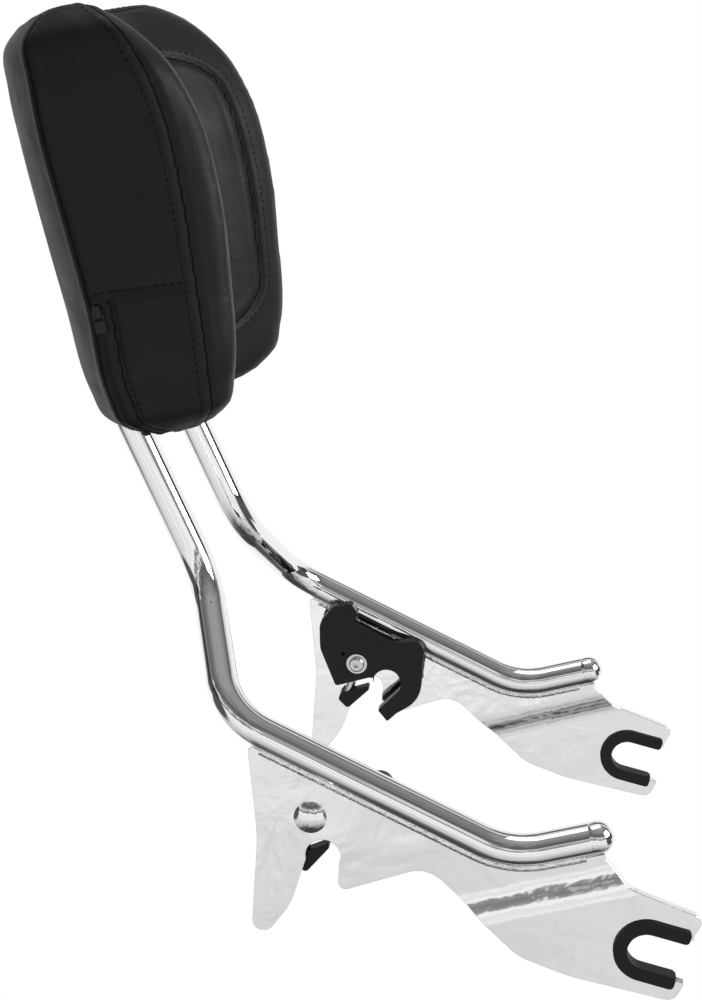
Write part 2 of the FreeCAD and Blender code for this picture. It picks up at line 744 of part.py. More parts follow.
def block(name, low, high):
    """A Part box in the pad's frame between two corners."""
    item = doc.addObject("Part::Box", name)
    item.Length, item.Width, item.Height = high - low
    item.Placement = padFrame.multiply(Placement(low, Rotation()))
    return item


def inPadFrame(shape):
    moved = shape.copy()
    moved.Placement = padFrame
    return moved


doc.recompute()
fullPad = padSolid(0.0)
core = padSolid(size("cover_thickness"))
margin = 1.5 * size("hem_margin")
hollowSide = size("pad_half_width") - size("hem_margin")
hollowBox = Part.makeBox(400, 2 * hollowSide, size("pad_height") - 2 * margin,
                         Vector(size("cover_thickness"), -hollowSide, margin))
frontBlock = seamPrism("front", 0.0, True).fuse(hollowBox)
backBlock = seamPrism("back", 0.0, False)
frontSkin = fullPad.common(frontBlock).cut(core)
backSkin = fullPad.common(backBlock).cut(core)
gusset = fullPad.cut(frontBlock).cut(backBlock).cut(core)
insetHigh = size("pad_height") - size("inset_top_margin")
insetSide = size("inset_half_width")
insetCorners = [(y, u, size("inset_corner")) for y, u in
                ((-insetSide, size("inset_low")), (insetSide, size("inset_low")),
                 (insetSide, insetHigh), (-insetSide, insetHigh))]
insetWire = Part.Wire([c.toShape() for c in rounded(insetCorners)])
insetFace = Part.Face(insetWire)
insetFace.rotate(Vector(), Vector(1, 0, 0), 90)
insetFace.rotate(Vector(), Vector(0, 0, 1), 90)
insetPrism = insetFace.extrude(Vector(400, 0, 0))
insetPrism.translate(Vector(-40, 0, 0))
hemBox = Part.makeBox(600, 600, 400, Vector(-300, -300, size("hem_height")))
lowGusset = gusset.cut(hemBox)
zipRegion = seamPrism("back", size("zip_width"), False)
tubeRoom = foamTube.Shape.copy()
tubeRoom.Placement = padFrame.inverse().multiply(tubeRoom.Placement)
coverParts = [
    ("cover_inset_panel", frontSkin.common(insetPrism)),
    ("cover_front_ring", frontSkin.cut(insetPrism)),
    ("cover_back_panel", backSkin.cut(tubeRoom)),
    ("cover_gusset_upper", gusset.common(hemBox)),
    ("cover_gusset_lower", lowGusset.cut(zipRegion).cut(tubeRoom)),
    ("zipper_tape", lowGusset.common(zipRegion).cut(tubeRoom)),
]
for label, shape in coverParts:
    keep(feature(label + "_skin", inPadFrame(shape)), label)

boardBack = tubeV + tubeRadius + size("strap_thickness")
board = block("board", Vector(boardBack, -size("board_half_width"), size("board_low")),
              Vector(boardBack + size("board_thickness"), size("board_half_width"),
                     size("pad_height") - size("board_top_margin")))
strapBack = tubeV + tubeRadius
straps = []
for word, height in (("lower", size("strap_low")), ("upper", size("strap_high"))):
    strap = block("strap_" + word,
                  Vector(strapBack, -size("strap_half_width"), height - size("strap_height") / 2),
                  Vector(boardBack, size("strap_half_width"), height + size("strap_height") / 2))
    straps.append(strap)
doc.recompute()
screwShapes = []
for height in (size("strap_low"), size("strap_high")):
    for y in (-size("strap_hole_y"), size("strap_hole_y")):
        seat = Vector(strapBack, y, height)
        shank = Part.makeCylinder(size("strap_screw_radius"),
                                  size("strap_thickness") + size("board_thickness") - 1, seat, Vector(1, 0, 0))
        head = Part.makeCylinder(size("strap_screw_head"), 3.5, seat - Vector(3.5, 0, 0), Vector(1, 0, 0))
        screwShapes.append(shank.fuse(head))
strapScrews = Part.makeCompound(screwShapes)
screwFeature = keep(feature("strap_screw_set", inPadFrame(strapScrews)), "strap_screws")
keep(combine("Part::Cut", "board_drilled", board, screwFeature), "backing_board")
for word, strap in zip(("lower", "upper"), straps):
    keep(combine("Part::Cut", "strap_drilled_" + word, strap, screwFeature), "pad_strap_" + word)

foam = padSolid(size("cover_thickness") + size("foam_ease")).cut(tubeRoom)
for part in [board] + straps:
    local = part.Shape.copy()
    local.Placement = padFrame.inverse().multiply(local.Placement)
    foam = foam.cut(local)
foam = foam.cut(strapScrews)
keep(feature("foam", inPadFrame(foam)), "pad_foam")

# Zip slider and its pull, at the top of the zip on the right side.
zipV = -size("pad_seam_back") - 3.0 + size("zip_width") / 2
zipTop = size("hem_height") - 4.0
reaches = []
for share in (0.0, 0.25, 0.5, 0.75, 1.0):
    u = zipTop - share * (size("zip_travel") + size("slider_length"))
    probe = Part.LineSegment(Vector(zipV, 0, u), Vector(zipV, -200, u)).toShape()
    reaches.append(probe.common(fullPad).BoundBox.YMin)
zipY = min(reaches) - size("side_play")
pinY = zipY - size("slider_height") / 2
pinU = zipTop - size("slider_length") / 2
sliderLow = Vector(zipV - size("slider_width") / 2, zipY - size("slider_height"),
                   zipTop - size("slider_length"))
slider = block("slider_block", sliderLow, Vector(zipV + size("slider_width") / 2, zipY, zipTop))
bail = cylinder("slider_hole", "Sizes.pull_thickness", "Sizes.slider_width + 2",
                padFrame.multVec(Vector(zipV - size("slider_width") / 2 - 1, pinY, pinU)),
                padFrame.Rotation.multVec(Vector(1, 0, 0)))
keep(combine("Part::Cut", "slider_cut", slider, bail), "zipper_slider")
loopV = size("slider_width") / 2 + size("pull_side_gap")
pullBack = pinY - size("pull_thickness") / 2
pin = Part.makeCylinder(size("pull_thickness") - 0.1, 2 * loopV,
                        Vector(zipV - loopV, pinY, pinU), Vector(1, 0, 0))
arms = [Part.makeBox(size("pull_arm_width"), size("pull_thickness"), size("pull_arm") + 1,
                     Vector(v, pullBack, pinU - size("pull_arm")))
        for v in (zipV - loopV - size("pull_arm_width"), zipV + loopV)]
plateTab = Part.makeBox(2 * (loopV + size("pull_arm_width")), size("pull_thickness"), size("pull_length"),
                        Vector(zipV - loopV - size("pull_arm_width"), pullBack,
                               pinU - size("pull_arm") - size("pull_length")))
pull = pin.multiFuse(arms + [plateTab]).removeSplitter()
keep(feature("pull", inPadFrame(pull)), "zipper_pull")

doc.recompute()
problems = []
for item in doc.Objects:
    if "Invalid" in item.State or "Error" in item.State:
        problems.append("%s %s" % (item.Name, item.State))
for item in nodes:
    if item.Shape.isNull() or not item.Shape.isValid():
        problems.append("%s has no valid shape" % item.Label)
if problems:
    raise RuntimeError("; ".join(problems))

os.makedirs("parts", exist_ok=True)
for item in nodes:
    item.Shape.exportStep("parts/%s.step" % item.Label)
    print("%-24s %9.0f mm3 %d" % (item.Label, item.Shape.Volume, len(item.Shape.Solids)))
print("zip pin", padFrame.multVec(Vector(zipV, pinY, pinU)))
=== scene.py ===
import bpy
import bmesh
import math
import numpy as np
from mathutils import Matrix, Quaternion, Vector, noise
from mathutils.bvhtree import BVHTree
from mathutils.kdtree import KDTree


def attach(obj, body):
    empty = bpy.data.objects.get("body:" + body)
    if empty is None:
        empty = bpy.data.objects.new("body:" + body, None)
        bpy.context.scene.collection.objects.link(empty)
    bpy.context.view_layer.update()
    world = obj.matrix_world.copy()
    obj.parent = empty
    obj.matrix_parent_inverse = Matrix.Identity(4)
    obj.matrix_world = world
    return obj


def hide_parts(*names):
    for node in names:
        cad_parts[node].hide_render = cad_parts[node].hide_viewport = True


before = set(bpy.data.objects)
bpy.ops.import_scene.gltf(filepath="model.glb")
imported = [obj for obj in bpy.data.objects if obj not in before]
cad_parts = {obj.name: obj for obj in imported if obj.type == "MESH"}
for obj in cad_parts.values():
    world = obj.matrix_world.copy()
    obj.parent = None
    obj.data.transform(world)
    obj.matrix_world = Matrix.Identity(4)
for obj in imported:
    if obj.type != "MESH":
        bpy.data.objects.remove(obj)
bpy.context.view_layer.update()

scene = bpy.context.scene
mm = 0.001
print("frame loaded")


# Finishes
finish = {"detail": 3.0, "smudgeFrom": 0.35, "smudgeTo": 0.65, "smudgeWarp": 0.4}


def buildGrain():
    group = bpy.data.node_groups.new("surfaceGrain", "ShaderNodeTree")
    for name, direction in (("Scale", "INPUT"), ("Distortion", "INPUT"), ("Height", "OUTPUT")):
        group.interface.new_socket(name=name, in_out=direction, socket_type="NodeSocketFloat")
    entry = group.nodes.new("NodeGroupInput")
    leave = group.nodes.new("NodeGroupOutput")
    coords = group.nodes.new("ShaderNodeTexCoord")
    pattern = group.nodes.new("ShaderNodeTexNoise")
    pattern.inputs["Detail"].default_value = finish["detail"]
    group.links.new(coords.outputs["Object"], pattern.inputs["Vector"])
    group.links.new(entry.outputs["Scale"], pattern.inputs["Scale"])
    group.links.new(entry.outputs["Distortion"], pattern.inputs["Distortion"])
    group.links.new(pattern.outputs["Fac"], leave.inputs["Height"])
    return group


grain = buildGrain()


def calc(tree, kind, first, second):
    node = tree.nodes.new("ShaderNodeMath")
    node.operation = kind
    for i, value in enumerate((first, second)):
        if isinstance(value, (int, float)):
            node.inputs[i].default_value = value
        else:
            tree.links.new(value, node.inputs[i])
    return node.outputs[0]


def spread(tree, value, start, stop, low=0.0, high=1.0):
    node = tree.nodes.new("ShaderNodeMapRange")
    for name, number in (("From Min", start), ("From Max", stop), ("To Min", low), ("To Max", high)):
        node.inputs[name].default_value = number
    tree.links.new(value, node.inputs["Value"])
    return node.outputs["Result"]


def newMaterial(name, colour, roughness, metallic=0.0, specular=0.5, bumps=(), smudge=None):
    material = bpy.data.materials.new(name)
    material.use_nodes = True
    tree = material.node_tree
    shader = tree.nodes["Principled BSDF"]
    shader.inputs["Base Color"].default_value = (*colour, 1.0)
    shader.inputs["Roughness"].default_value = roughness
    shader.inputs["Metallic"].default_value = metallic
    shader.inputs["Specular IOR Level"].default_value = specular

    def grainNode(scale, distortion):
        node = tree.nodes.new("ShaderNodeGroup")
        node.node_tree = grain
        node.inputs["Scale"].default_value = scale
        node.inputs["Distortion"].default_value = distortion
        return node

    last = None
    for scale, distortion, distance in bumps:
        bump = tree.nodes.new("ShaderNodeBump")
        bump.inputs["Distance"].default_value = distance
        tree.links.new(grainNode(scale, distortion).outputs["Height"], bump.inputs["Height"])
        if last:
            tree.links.new(last.outputs["Normal"], bump.inputs["Normal"])
        last = bump
    if last:
        tree.links.new(last.outputs["Normal"], shader.inputs["Normal"])
    if smudge:
        scale, low, high = smudge
        patches = grainNode(scale, finish["smudgeWarp"]).outputs["Height"]
        sheen = spread(tree, patches, finish["smudgeFrom"], finish["smudgeTo"], low, high)
        tree.links.new(sheen, shader.inputs["Roughness"])
    return material


chromeBar = newMaterial("polished chrome bar", (0.86, 0.865, 0.87), 0.04, 1.0, bumps=((14, 0.2, 0.0004),))
chromePlate = newMaterial("polished chrome plate", (0.86, 0.865, 0.87), 0.06, 1.0,
                          bumps=((22, 0.5, 0.0012), (160, 0.3, 0.00006)), smudge=(30, 0.04, 0.10))
brightSteel = newMaterial("bright plated steel", (0.62, 0.62, 0.63), 0.22, 1.0, bumps=((900, 0.0, 0.00002),))
blackPaint = newMaterial("satin black paint", (0.007, 0.007, 0.0075), 0.36, 0.0, 0.24,
                        bumps=((700, 0.0, 0.00003),))
blackRubber = newMaterial("black rubber", (0.009, 0.009, 0.009), 0.5, 0.0, 0.22, bumps=((500, 0.0, 0.00005),))
vinyl = newMaterial("black vinyl", (0.006, 0.006, 0.0063), 0.5, 0.0, 0.22,
                    bumps=((1500, 0.6, 0.00008), (60, 0.8, 0.0005)), smudge=(25, 0.46, 0.56))
weldSteel = newMaterial("chromed weld", (0.8, 0.8, 0.81), 0.2, 1.0,
                        bumps=((240, 0.8, 0.0010), (700, 0.0, 0.0002)), smudge=(90, 0.12, 0.3))
thread = newMaterial("black thread", (0.0015, 0.0015, 0.0015), 0.6, 0.0, 0.08)
zipCloth = newMaterial("woven zip tape", (0.012, 0.012, 0.012), 0.85, 0.0, 0.2, bumps=((2200, 0.0, 0.0001),))
zipMetal = newMaterial("dark zip metal", (0.035, 0.035, 0.037), 0.5, 1.0, bumps=((900, 0.0, 0.00003),))
print("finishes made")


# Shapes shared by several pieces. Angles are in degrees, the two join distances in metres
shaping = {"smoothAngle": 32, "bevelAngle": 30, "flatAngle": 1.0, "join": 2e-6, "cadJoin": 4e-6}


def addPiece(name, mesh, material, body="frame", nodes=(),
             angle=shaping["smoothAngle"]):
    mesh.name = name
    piece = bpy.data.objects.new(name, mesh)
    scene.collection.objects.link(piece)
    mesh.materials.clear()
    mesh.materials.append(material)
    for old in ("custom_normal", "sharp_face"):
        if old in mesh.attributes:
            mesh.attributes.remove(mesh.attributes[old])
    mesh.shade_smooth()
    mesh.set_sharp_from_angle(angle=math.radians(angle))
    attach(piece, body)
    if nodes:
        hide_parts(*nodes)
    return piece


def asMesh(bm, name):
    mesh = bpy.data.meshes.new(name)
    bm.to_mesh(mesh)
    bm.free()
    return mesh


def closedMesh(bm, name="shape"):
    bmesh.ops.remove_doubles(bm, verts=bm.verts, dist=shaping["join"])
    bmesh.ops.recalc_face_normals(bm, faces=bm.faces)
    return asMesh(bm, name)


def cadShape(node, width, segments):
    bm = bmesh.new()
    bm.from_mesh(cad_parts[node].data)
    bmesh.ops.remove_doubles(bm, verts=bm.verts, dist=shaping["cadJoin"])
    bmesh.ops.dissolve_limit(bm, angle_limit=math.radians(shaping["flatAngle"]), verts=bm.verts,
                             edges=bm.edges, use_dissolve_boundaries=False)
    bmesh.ops.dissolve_degenerate(bm, dist=shaping["cadJoin"], edges=bm.edges)
    least = math.radians(shaping["bevelAngle"])
    sharp = [e for e in bm.edges if len(e.link_faces) == 2 and e.calc_face_angle(0) > least]
    bmesh.ops.bevel(bm, geom=sharp, offset=width * mm, offset_type="OFFSET", affect="EDGES",
                    segments=segments, profile=0.5, material=-1, clamp_overlap=True)
    return asMesh(bm, node)


def machined(node, material, width, body="frame", segments=2):
    mesh = cadShape(node, width, segments)
    piece = addPiece(node + "_finished", mesh, material, body, (node,))
    normals = piece.modifiers.new("evenNormals", "WEIGHTED_NORMAL")
    normals.keep_sharp = True
    return piece


def lathe(profile, base, axis, steps):
    bm = bmesh.new()
    verts = [bm.verts.new((radius * mm, 0, height * mm)) for radius, height in profile]
    edges = [bm.edges.new(pair) for pair in zip(verts, verts[1:])]
    bmesh.ops.spin(bm, geom=verts + edges, cent=(0, 0, 0), axis=(0, 0, 1), angle=2 * math.pi, steps=steps,
                   use_merge=True)
    bmesh.ops.remove_doubles(bm, verts=bm.verts, dist=shaping["join"])
    turn = Vector(axis).to_track_quat("Z", "Y").to_matrix().to_4x4()
    bmesh.ops.transform(bm, matrix=Matrix.Translation(Vector(base) * mm) @ turn, verts=bm.verts)
    return bm


def roundedPath(points, radii, stepDegrees=2.5):
    path = [Vector(points[0])]
    for before, here, after, radius in zip(points, points[1:], points[2:], radii):
        here, back, ahead = Vector(here), Vector(before), Vector(after)
        back = (back - here).normalized()
        ahead = (ahead - here).normalized()
        half = back.angle(ahead) / 2
        centre = here + (back + ahead).normalized() * radius / math.sin(half)
        start = here + back * radius / math.tan(half) - centre
        stop = here + ahead * radius / math.tan(half) - centre
        turn = start.rotation_difference(stop)
        count = max(3, int(math.degrees(turn.angle) / stepDegrees))
        path += [centre + Quaternion(turn.axis, turn.angle * i / count) @ start for i in range(count + 1)]
    return path + [Vector(points[-1])]


def rod(points, radius, sides, swell=None):
    curve = bpy.data.curves.new("rod", "CURVE")
    curve.dimensions = "3D"
    curve.bevel_depth = radius * mm
    curve.bevel_resolution = sides
    curve.use_fill_caps = True
    curve.twist_mode = "MINIMUM"
    line = curve.splines.new("POLY")
    line.points.add(len(points) - 1)
    for i, point in enumerate(points):
        line.points[i].co = (*(Vector(point) * mm), 1)
        line.points[i].radius = swell(i) if swell else 1
    holder = bpy.data.objects.new("rod", curve)
    mesh = bpy.data.meshes.new_from_object(holder)
    bpy.data.objects.remove(holder)
    bpy.data.curves.remove(curve)
    return mesh


def evenly(points, step):
    out = [points[0]]
    left = step
    for a, b in zip(points, points[1:]):
        length = (b - a).length
        done = 0.0
        while length - done >= left:
            done += left
            out.append(a.lerp(b, done / length))
            left = step
        left -= length - done
    return out


# Bar, end caps and welds
bar = {"radius": 11.0, "capRadius": 11.08, "capCollar": 4.0, "capLip": 0.4, "capSteps": 72,
       "weldRadius": 3.7, "weldPitch": 1.6, "weldSides": (149.0, 155.0), "weldMean": 0.98,
       "weldSlow": (0.7, 0.14), "weldFast": (1.9, 0.08),
       "points": ((-39.04, 152, 75.97), (-93, 152, 61), (-284.03, 152, 152.94), (-312.53, 70, 220.94),
                  (-365.61, 70, 340.16), (-396.8, 70, 486.88)),
       "bends": (60, 48, 60, 90, 42),
       "weld": ((-261.5, 0, 130.35), (-94.0, 0, 49.74), (-42.0, 0, 64.15)), "weldBend": 70.6}
sides = (("right", -1), ("left", 1))


def mirrored(points, side):
    return [(x, y * side, z) for x, y, z in points]


rightBar, leftBar = mirrored(bar["points"], -1), mirrored(bar["points"], 1)
barPath = roundedPath(rightBar + leftBar[::-1], bar["bends"] + bar["bends"][::-1], 1.5)
addPiece("bar_tube", rod(barPath, bar["radius"], 14), chromeBar, "frame", ("sissy_bar_tube",),
         60)


def weldSwell(i, y):
    slowStep, slow = bar["weldSlow"]
    fastStep, fast = bar["weldFast"]
    wide = slow * noise.noise((i * slowStep, y, 0.0))
    fine = fast * noise.noise((i * fastStep, 0.0, y))
    return bar["weldMean"] + wide + fine


for word, side in sides:
    front, bend = Vector(mirrored(bar["points"], side)[0]), Vector(mirrored(bar["points"], side)[1])
    r, collar = bar["capRadius"], bar["capCollar"]
    profile = [(r - bar["capLip"], -1.2), (r, -0.2), (r, collar)]
    for degrees in range(6, 90, 6):
        a = math.radians(degrees)
        profile.append((r * math.cos(a), collar + r * math.sin(a)))
    profile.append((0.0, collar + r))
    cap = closedMesh(lathe(profile, front, front - bend, bar["capSteps"]))
    addPiece("end_cap_" + word, cap, chromeBar, "frame", ("tube_end_cap_" + word,), 50)
    beads = bmesh.new()
    for y in bar["weldSides"]:
        run = roundedPath([(x, side * y, z) for x, _, z in bar["weld"]], (bar["weldBend"],))
        run = evenly(run, bar["weldPitch"])
        beads.from_mesh(rod(run, bar["weldRadius"], 4, lambda i: weldSwell(i, y)))
    addPiece("weld_" + word, asMesh(beads, "weld"), weldSteel, "frame", ("weld_bead_" + word,),
             70)
print("bar made")


# Plates, liners, latches, pivots and bumpers
hardware = {"plateEdge": 0.7, "linerEdge": 0.8, "hookEdge": 0.7, "bumperEdge": 0.9, "studEdge": 0.3,
            "frictionEdge": 0.1, "screwEdge": 0.15, "washerEdge": 0.25, "pivot": (-228.0, 82.5),
            "plateOuter": 155.0, "headRadius": 11.2, "headRim": 1.2, "headHeight": 5.5,
            "headStem": 5.0, "headDepth": 20.0, "headSteps": 10, "latheSteps": 64}
for word, side in sides:
    machined("side_plate_" + word, chromePlate, hardware["plateEdge"], segments=3)
    machined("slot_liner_" + word, blackRubber, hardware["linerEdge"], segments=3)
    latch = "latch_" + word
    machined("latch_hook_" + word, blackPaint, hardware["hookEdge"], latch, segments=3)
    machined("bumper_pad_" + word, blackRubber, hardware["bumperEdge"], latch, segments=3)
    machined("bumper_stud_" + word, brightSteel, hardware["studEdge"], latch)
    machined("friction_washer_" + word, brightSteel, hardware["frictionEdge"])
    machined("pivot_screw_" + word, brightSteel, hardware["screwEdge"])
    machined("pivot_washer_" + word, brightSteel, hardware["washerEdge"])
    x, z = hardware["pivot"]
    rim, rise = hardware["headRim"], hardware["headHeight"] - hardware["headRim"]
    r, stem = hardware["headRadius"], hardware["headStem"]
    ball = (r * r + rise * rise) / (2 * rise)
    profile = [(stem, -hardware["headDepth"]), (stem, 0.0), (r - 0.2, 0.0), (r, 0.25), (r, rim)]
    top = math.degrees(math.acos((ball - rise) / ball))
    for i in range(1, hardware["headSteps"] + 1):
        a = math.radians(top * (1 - i / hardware["headSteps"]))
        profile.append((ball * math.sin(a), rim + ball * math.cos(a) - (ball - rise)))
    place = (x, side * hardware["plateOuter"], z)
    head = closedMesh(lathe(profile, place, (0, side, 0), hardware["latheSteps"]))
    addPiece("pivot_button_" + word, head, chromeBar, "frame", ("pivot_post_" + word,), 35)
print("plates and latches made")


# Pad: v forward, y across, u up along the pad's own lean
pad = {"base": (-347.11, 0.0, 328.42), "lean": 12.0, "height": 284.0, "halfWidth": 118.0, "back": 59.0,
       "seamBack": 9.0, "seamFront": 68.0, "wing": 90.0, "hollow": 24.0, "tuck": 1.4, "bulge": 2.0,
       "voxel": 3.9, "pressure": 2.2, "frames": 20, "cap": 4.0, "grooveDepth": 1.6, "grooveWidth": 2.4,
       "insetHalf": 82.0, "insetLow": 38.0, "insetHigh": 248.0, "insetCorner": 34.0, "zipWidth": 15.0,
       "hemBack": 98.0, "hemFront": 93.0, "hemStitch": 6.5, "hemShares": (0.07, 0.97), "hemSteps": 60,
       "stitch": 3.8, "stitchGap": 5.2, "stitchWide": 0.5, "stitchHigh": 0.3, "walkSteps": 900,
       "wingInset": 20.0, "edgeInset": 5.5, "middleRise": 0.42, "edgeRise": 0.72, "soften": 5.0,
       "softenOver": 12.0, "formCuts": 40, "holdFull": 1.4, "holdOver": 6.0, "grooveReach": 14.0,
       "puckerScale": 160.0, "pucker": 0.2, "puckerWidth": 5.0, "ridge": 0.5, "ridgeAt": 6.0,
       "ridgeWidth": 3.0, "insetStep": 2.0, "insetSeam": -3.0, "insetStitch": 2.5, "gussetStitch": -8.0,
       "zipStitch": 3.5, "coilMetres": 0.0009, "coilHalf": 1.5, "coilRadius": 0.32, "coilLift": 0.2,
       "cordStep": 3.0, "cordSink": -0.1, "sliderEdge": 0.5, "pullEdge": 0.2}

# Share of the height, then how far the side, back, back seam, front seam, wing and hollow draw in
padRows = np.array([
    (0.00, 24.0, 22.0, 12.0, 26.0, 44.0, 16.0),
    (0.035, 7.0, 12.0, 1.0, 15.0, 28.0, 8.0),
    (0.10, 1.5, 7.0, -3.0, 11.0, 19.0, 3.0),
    (0.33, 0.0, 3.0, -2.0, 4.5, 6.0, 0.0),
    (0.54, 0.0, 1.0, -3.5, 0.0, 0.0, 0.0),
    (0.73, 0.0, 0.5, -5.0, 0.0, 4.0, 1.0),
    (0.865, 1.0, 1.5, -3.0, 8.0, 19.0, 6.0),
    (0.957, 8.0, 6.0, -1.0, 21.0, 42.0, 15.0),
    (1.00, 24.0, 17.0, 8.0, 36.0, 59.0, 26.0)])
padTurn = Matrix.Rotation(math.radians(-pad["lean"]), 3, "Y")


def padPoint(v, y, u):
    return (Vector(pad["base"]) + padTurn @ Vector((v, y, u))) * mm


def smoothValue(xs, ys, x):
    x = min(max(x, xs[0]), xs[-1])
    i = min(int(np.searchsorted(xs, x, side="right")) - 1, len(xs) - 2)
    slopes = np.gradient(ys, xs)
    h = xs[i + 1] - xs[i]
    t = (x - xs[i]) / h
    rise = ys[i + 1] - ys[i]
    return (ys[i] + rise * t * t * (3 - 2 * t) + h * slopes[i] * t * (1 - t) ** 2
            - h * slopes[i + 1] * t * t * (1 - t))


rowCache = {}


def rowAt(share):
    key = round(share, 4)
    if key not in rowCache:
        rowCache[key] = [smoothValue(padRows[:, 0], padRows[:, c], share) for c in range(1, 7)]
    return rowCache[key]


def padForm(a, b, c, shrink=0.0):
    share = (c + 1) / 2
    side, back, backSeam, frontSeam, wing, hollow = rowAt(share)
    u = shrink + (pad["height"] - 2 * shrink) * share
    w = pad["halfWidth"] - side - shrink
    y = b * w
    seamB, crown = -pad["seamBack"] + backSeam, -pad["back"] + back
    vBack = crown + (seamB - crown) * b * b + shrink
    seamF, tip, dip = pad["seamFront"] - frontSeam, pad["wing"] - wing, pad["hollow"] - hollow
    ys = np.array([0.0, w * 0.5, w - pad["wingInset"], w - pad["edgeInset"], w])
    vs = np.array([dip, dip + pad["middleRise"] * (tip - dip), tip,
                   seamF + pad["edgeRise"] * (tip - seamF), seamF])
    vFront = smoothValue(ys, vs, abs(y)) - shrink
    edge = min(share, 1 - share) * pad["height"]
    soften = pad["soften"] * max(0.0, 1 - edge / pad["softenOver"]) ** 2
    vFront -= soften * (1 - abs(b) ** 6)
    vBack += soften * (1 - abs(b) ** 6)
    s = (a + 1) / 2
    puff = pad["bulge"] * math.sin(math.pi * s)
    y += puff * b ** 5
    u += puff * c ** 5
    return vBack + (vFront - vBack) * s, y, u


def buildPadForm():
    bm = bmesh.new()
    bmesh.ops.create_cube(bm, size=2.0)
    bmesh.ops.subdivide_edges(bm, edges=bm.edges, cuts=pad["formCuts"], use_grid_fill=True)
    for vert in bm.verts:
        vert.co = padPoint(*padForm(*vert.co, pad["tuck"]))
    return closedMesh(bm, "padForm")


def evaluated(piece):
    return bpy.data.meshes.new_from_object(piece.evaluated_get(bpy.context.evaluated_depsgraph_get()))


def squareWalk(count):
    walk = []
    for i in range(count):
        t = 4.0 * i / count
        k, f = int(t), 2 * (t - int(t)) - 1
        walk.append(((f, -1.0), (1.0, f), (-f, 1.0), (-1.0, -f))[k])
    return walk


def insetWalk(offset):
    half, low, high = pad["insetHalf"] + offset, pad["insetLow"] - offset, pad["insetHigh"] + offset
    corner = pad["insetCorner"] + offset
    square = [(0, low, 0), (half, low, 0), (half, high, 0), (-half, high, 0), (-half, low, 0), (0, low, 0)]
    path = roundedPath(square, [corner] * 4, 4)
    out = []
    for p in evenly(path, pad["insetStep"]):
        share = p.y / pad["height"]
        b = p.x / (pad["halfWidth"] - rowAt(share)[0])
        out.append((1.0, b, 2 * share - 1))
    return out


def sideOf(a, b, c, distance):
    near, far = padForm(-1, b, c)[0], padForm(1, b, c)[0]
    return (a + 2 * distance / max(far - near, 1.0), b, c)


def line(keys):
    return [padPoint(*padForm(*key)) for key in keys]


walk = squareWalk(pad["walkSteps"])
seams = {"back": line([(-1.0, b, c) for b, c in walk]), "front": line([(1.0, b, c) for b, c in walk]),
         "inset": line(insetWalk(pad["insetSeam"]))}
hemTop = 2 * pad["hemBack"] / pad["height"] - 1
lowWalk = [(b, c) for b, c in walk if c < hemTop]
start = max(range(len(lowWalk)), key=lambda i: (lowWalk[i][0] == -1.0, lowWalk[i][1]))
lowWalk = lowWalk[start:] + lowWalk[:start]
seams["zip"] = line([sideOf(-1.0, b, c, pad["zipWidth"]) for b, c in lowWalk])


def hemLine(side, lift):
    shareLow, shareHigh = pad["hemShares"]
    count = pad["hemSteps"]
    keys = []
    for i in range(count + 1):
        s = shareLow + (shareHigh - shareLow) * i / count
        u = pad["hemBack"] + (pad["hemFront"] - pad["hemBack"]) * s + lift
        keys.append((2 * s - 1, side, 2 * u / pad["height"] - 1))
    return line(keys)


def nearestIn(points):
    tree = KDTree(len(points))
    for i, point in enumerate(points):
        tree.insert(point, i)
    tree.balance()
    return tree


seamTree = nearestIn([p for name in seams for p in seams[name]])


def inflate(form):
    holder = bpy.data.objects.new("padCloth", form)
    scene.collection.objects.link(holder)
    remesh = holder.modifiers.new("voxels", "REMESH")
    remesh.mode = "VOXEL"
    remesh.voxel_size = pad["voxel"] * mm
    mesh = evaluated(holder)
    holder.modifiers.clear()
    holder.data = mesh
    rest = [v.co.copy() for v in mesh.vertices]
    held = holder.vertex_groups.new(name="seams")
    for v in mesh.vertices:
        distance = seamTree.find(v.co)[2] / mm
        held.add([v.index], max(0.0, min(1.0, pad["holdFull"] - distance / pad["holdOver"])), "REPLACE")
    cloth = holder.modifiers.new("cloth", "CLOTH")
    settings = cloth.settings
    settings.quality = 5
    settings.mass = 0.3
    settings.tension_stiffness = 20
    settings.compression_stiffness = 20
    settings.bending_stiffness = 0.6
    settings.use_pressure = True
    settings.uniform_pressure_force = pad["pressure"]
    settings.vertex_group_mass = "seams"
    settings.effector_weights.gravity = 0.0
    cloth.collision_settings.use_collision = False
    for number in range(1, pad["frames"] + 1):
        scene.frame_set(number)
    moved = evaluated(holder)
    for v, before in zip(mesh.vertices, rest):
        step = moved.vertices[v.index].co - before
        if step.length > pad["cap"] * mm:
            step *= pad["cap"] * mm / step.length
        v.co = before + step
    holder.modifiers.clear()
    scene.frame_set(1)
    return holder


def finishPad(holder):
    smoother = holder.modifiers.new("finer", "SUBSURF")
    smoother.levels = smoother.render_levels = 1
    mesh = evaluated(holder)
    bpy.data.objects.remove(holder)
    mesh.update()
    normals = [n.vector.copy() for n in mesh.vertex_normals]
    for v, normal in zip(mesh.vertices, normals):
        distance = seamTree.find(v.co)[2] / mm
        if distance < pad["grooveReach"]:
            groove = math.exp(-(distance / pad["grooveWidth"]) ** 2) * pad["grooveDepth"]
            fade = math.exp(-(distance / pad["puckerWidth"]) ** 2)
            pucker = noise.noise(v.co * pad["puckerScale"]) * pad["pucker"] * fade
            ridge = pad["ridge"] * math.exp(-((distance - pad["ridgeAt"]) / pad["ridgeWidth"]) ** 2)
            v.co += normal * mm * (pucker - groove + ridge)
    return mesh


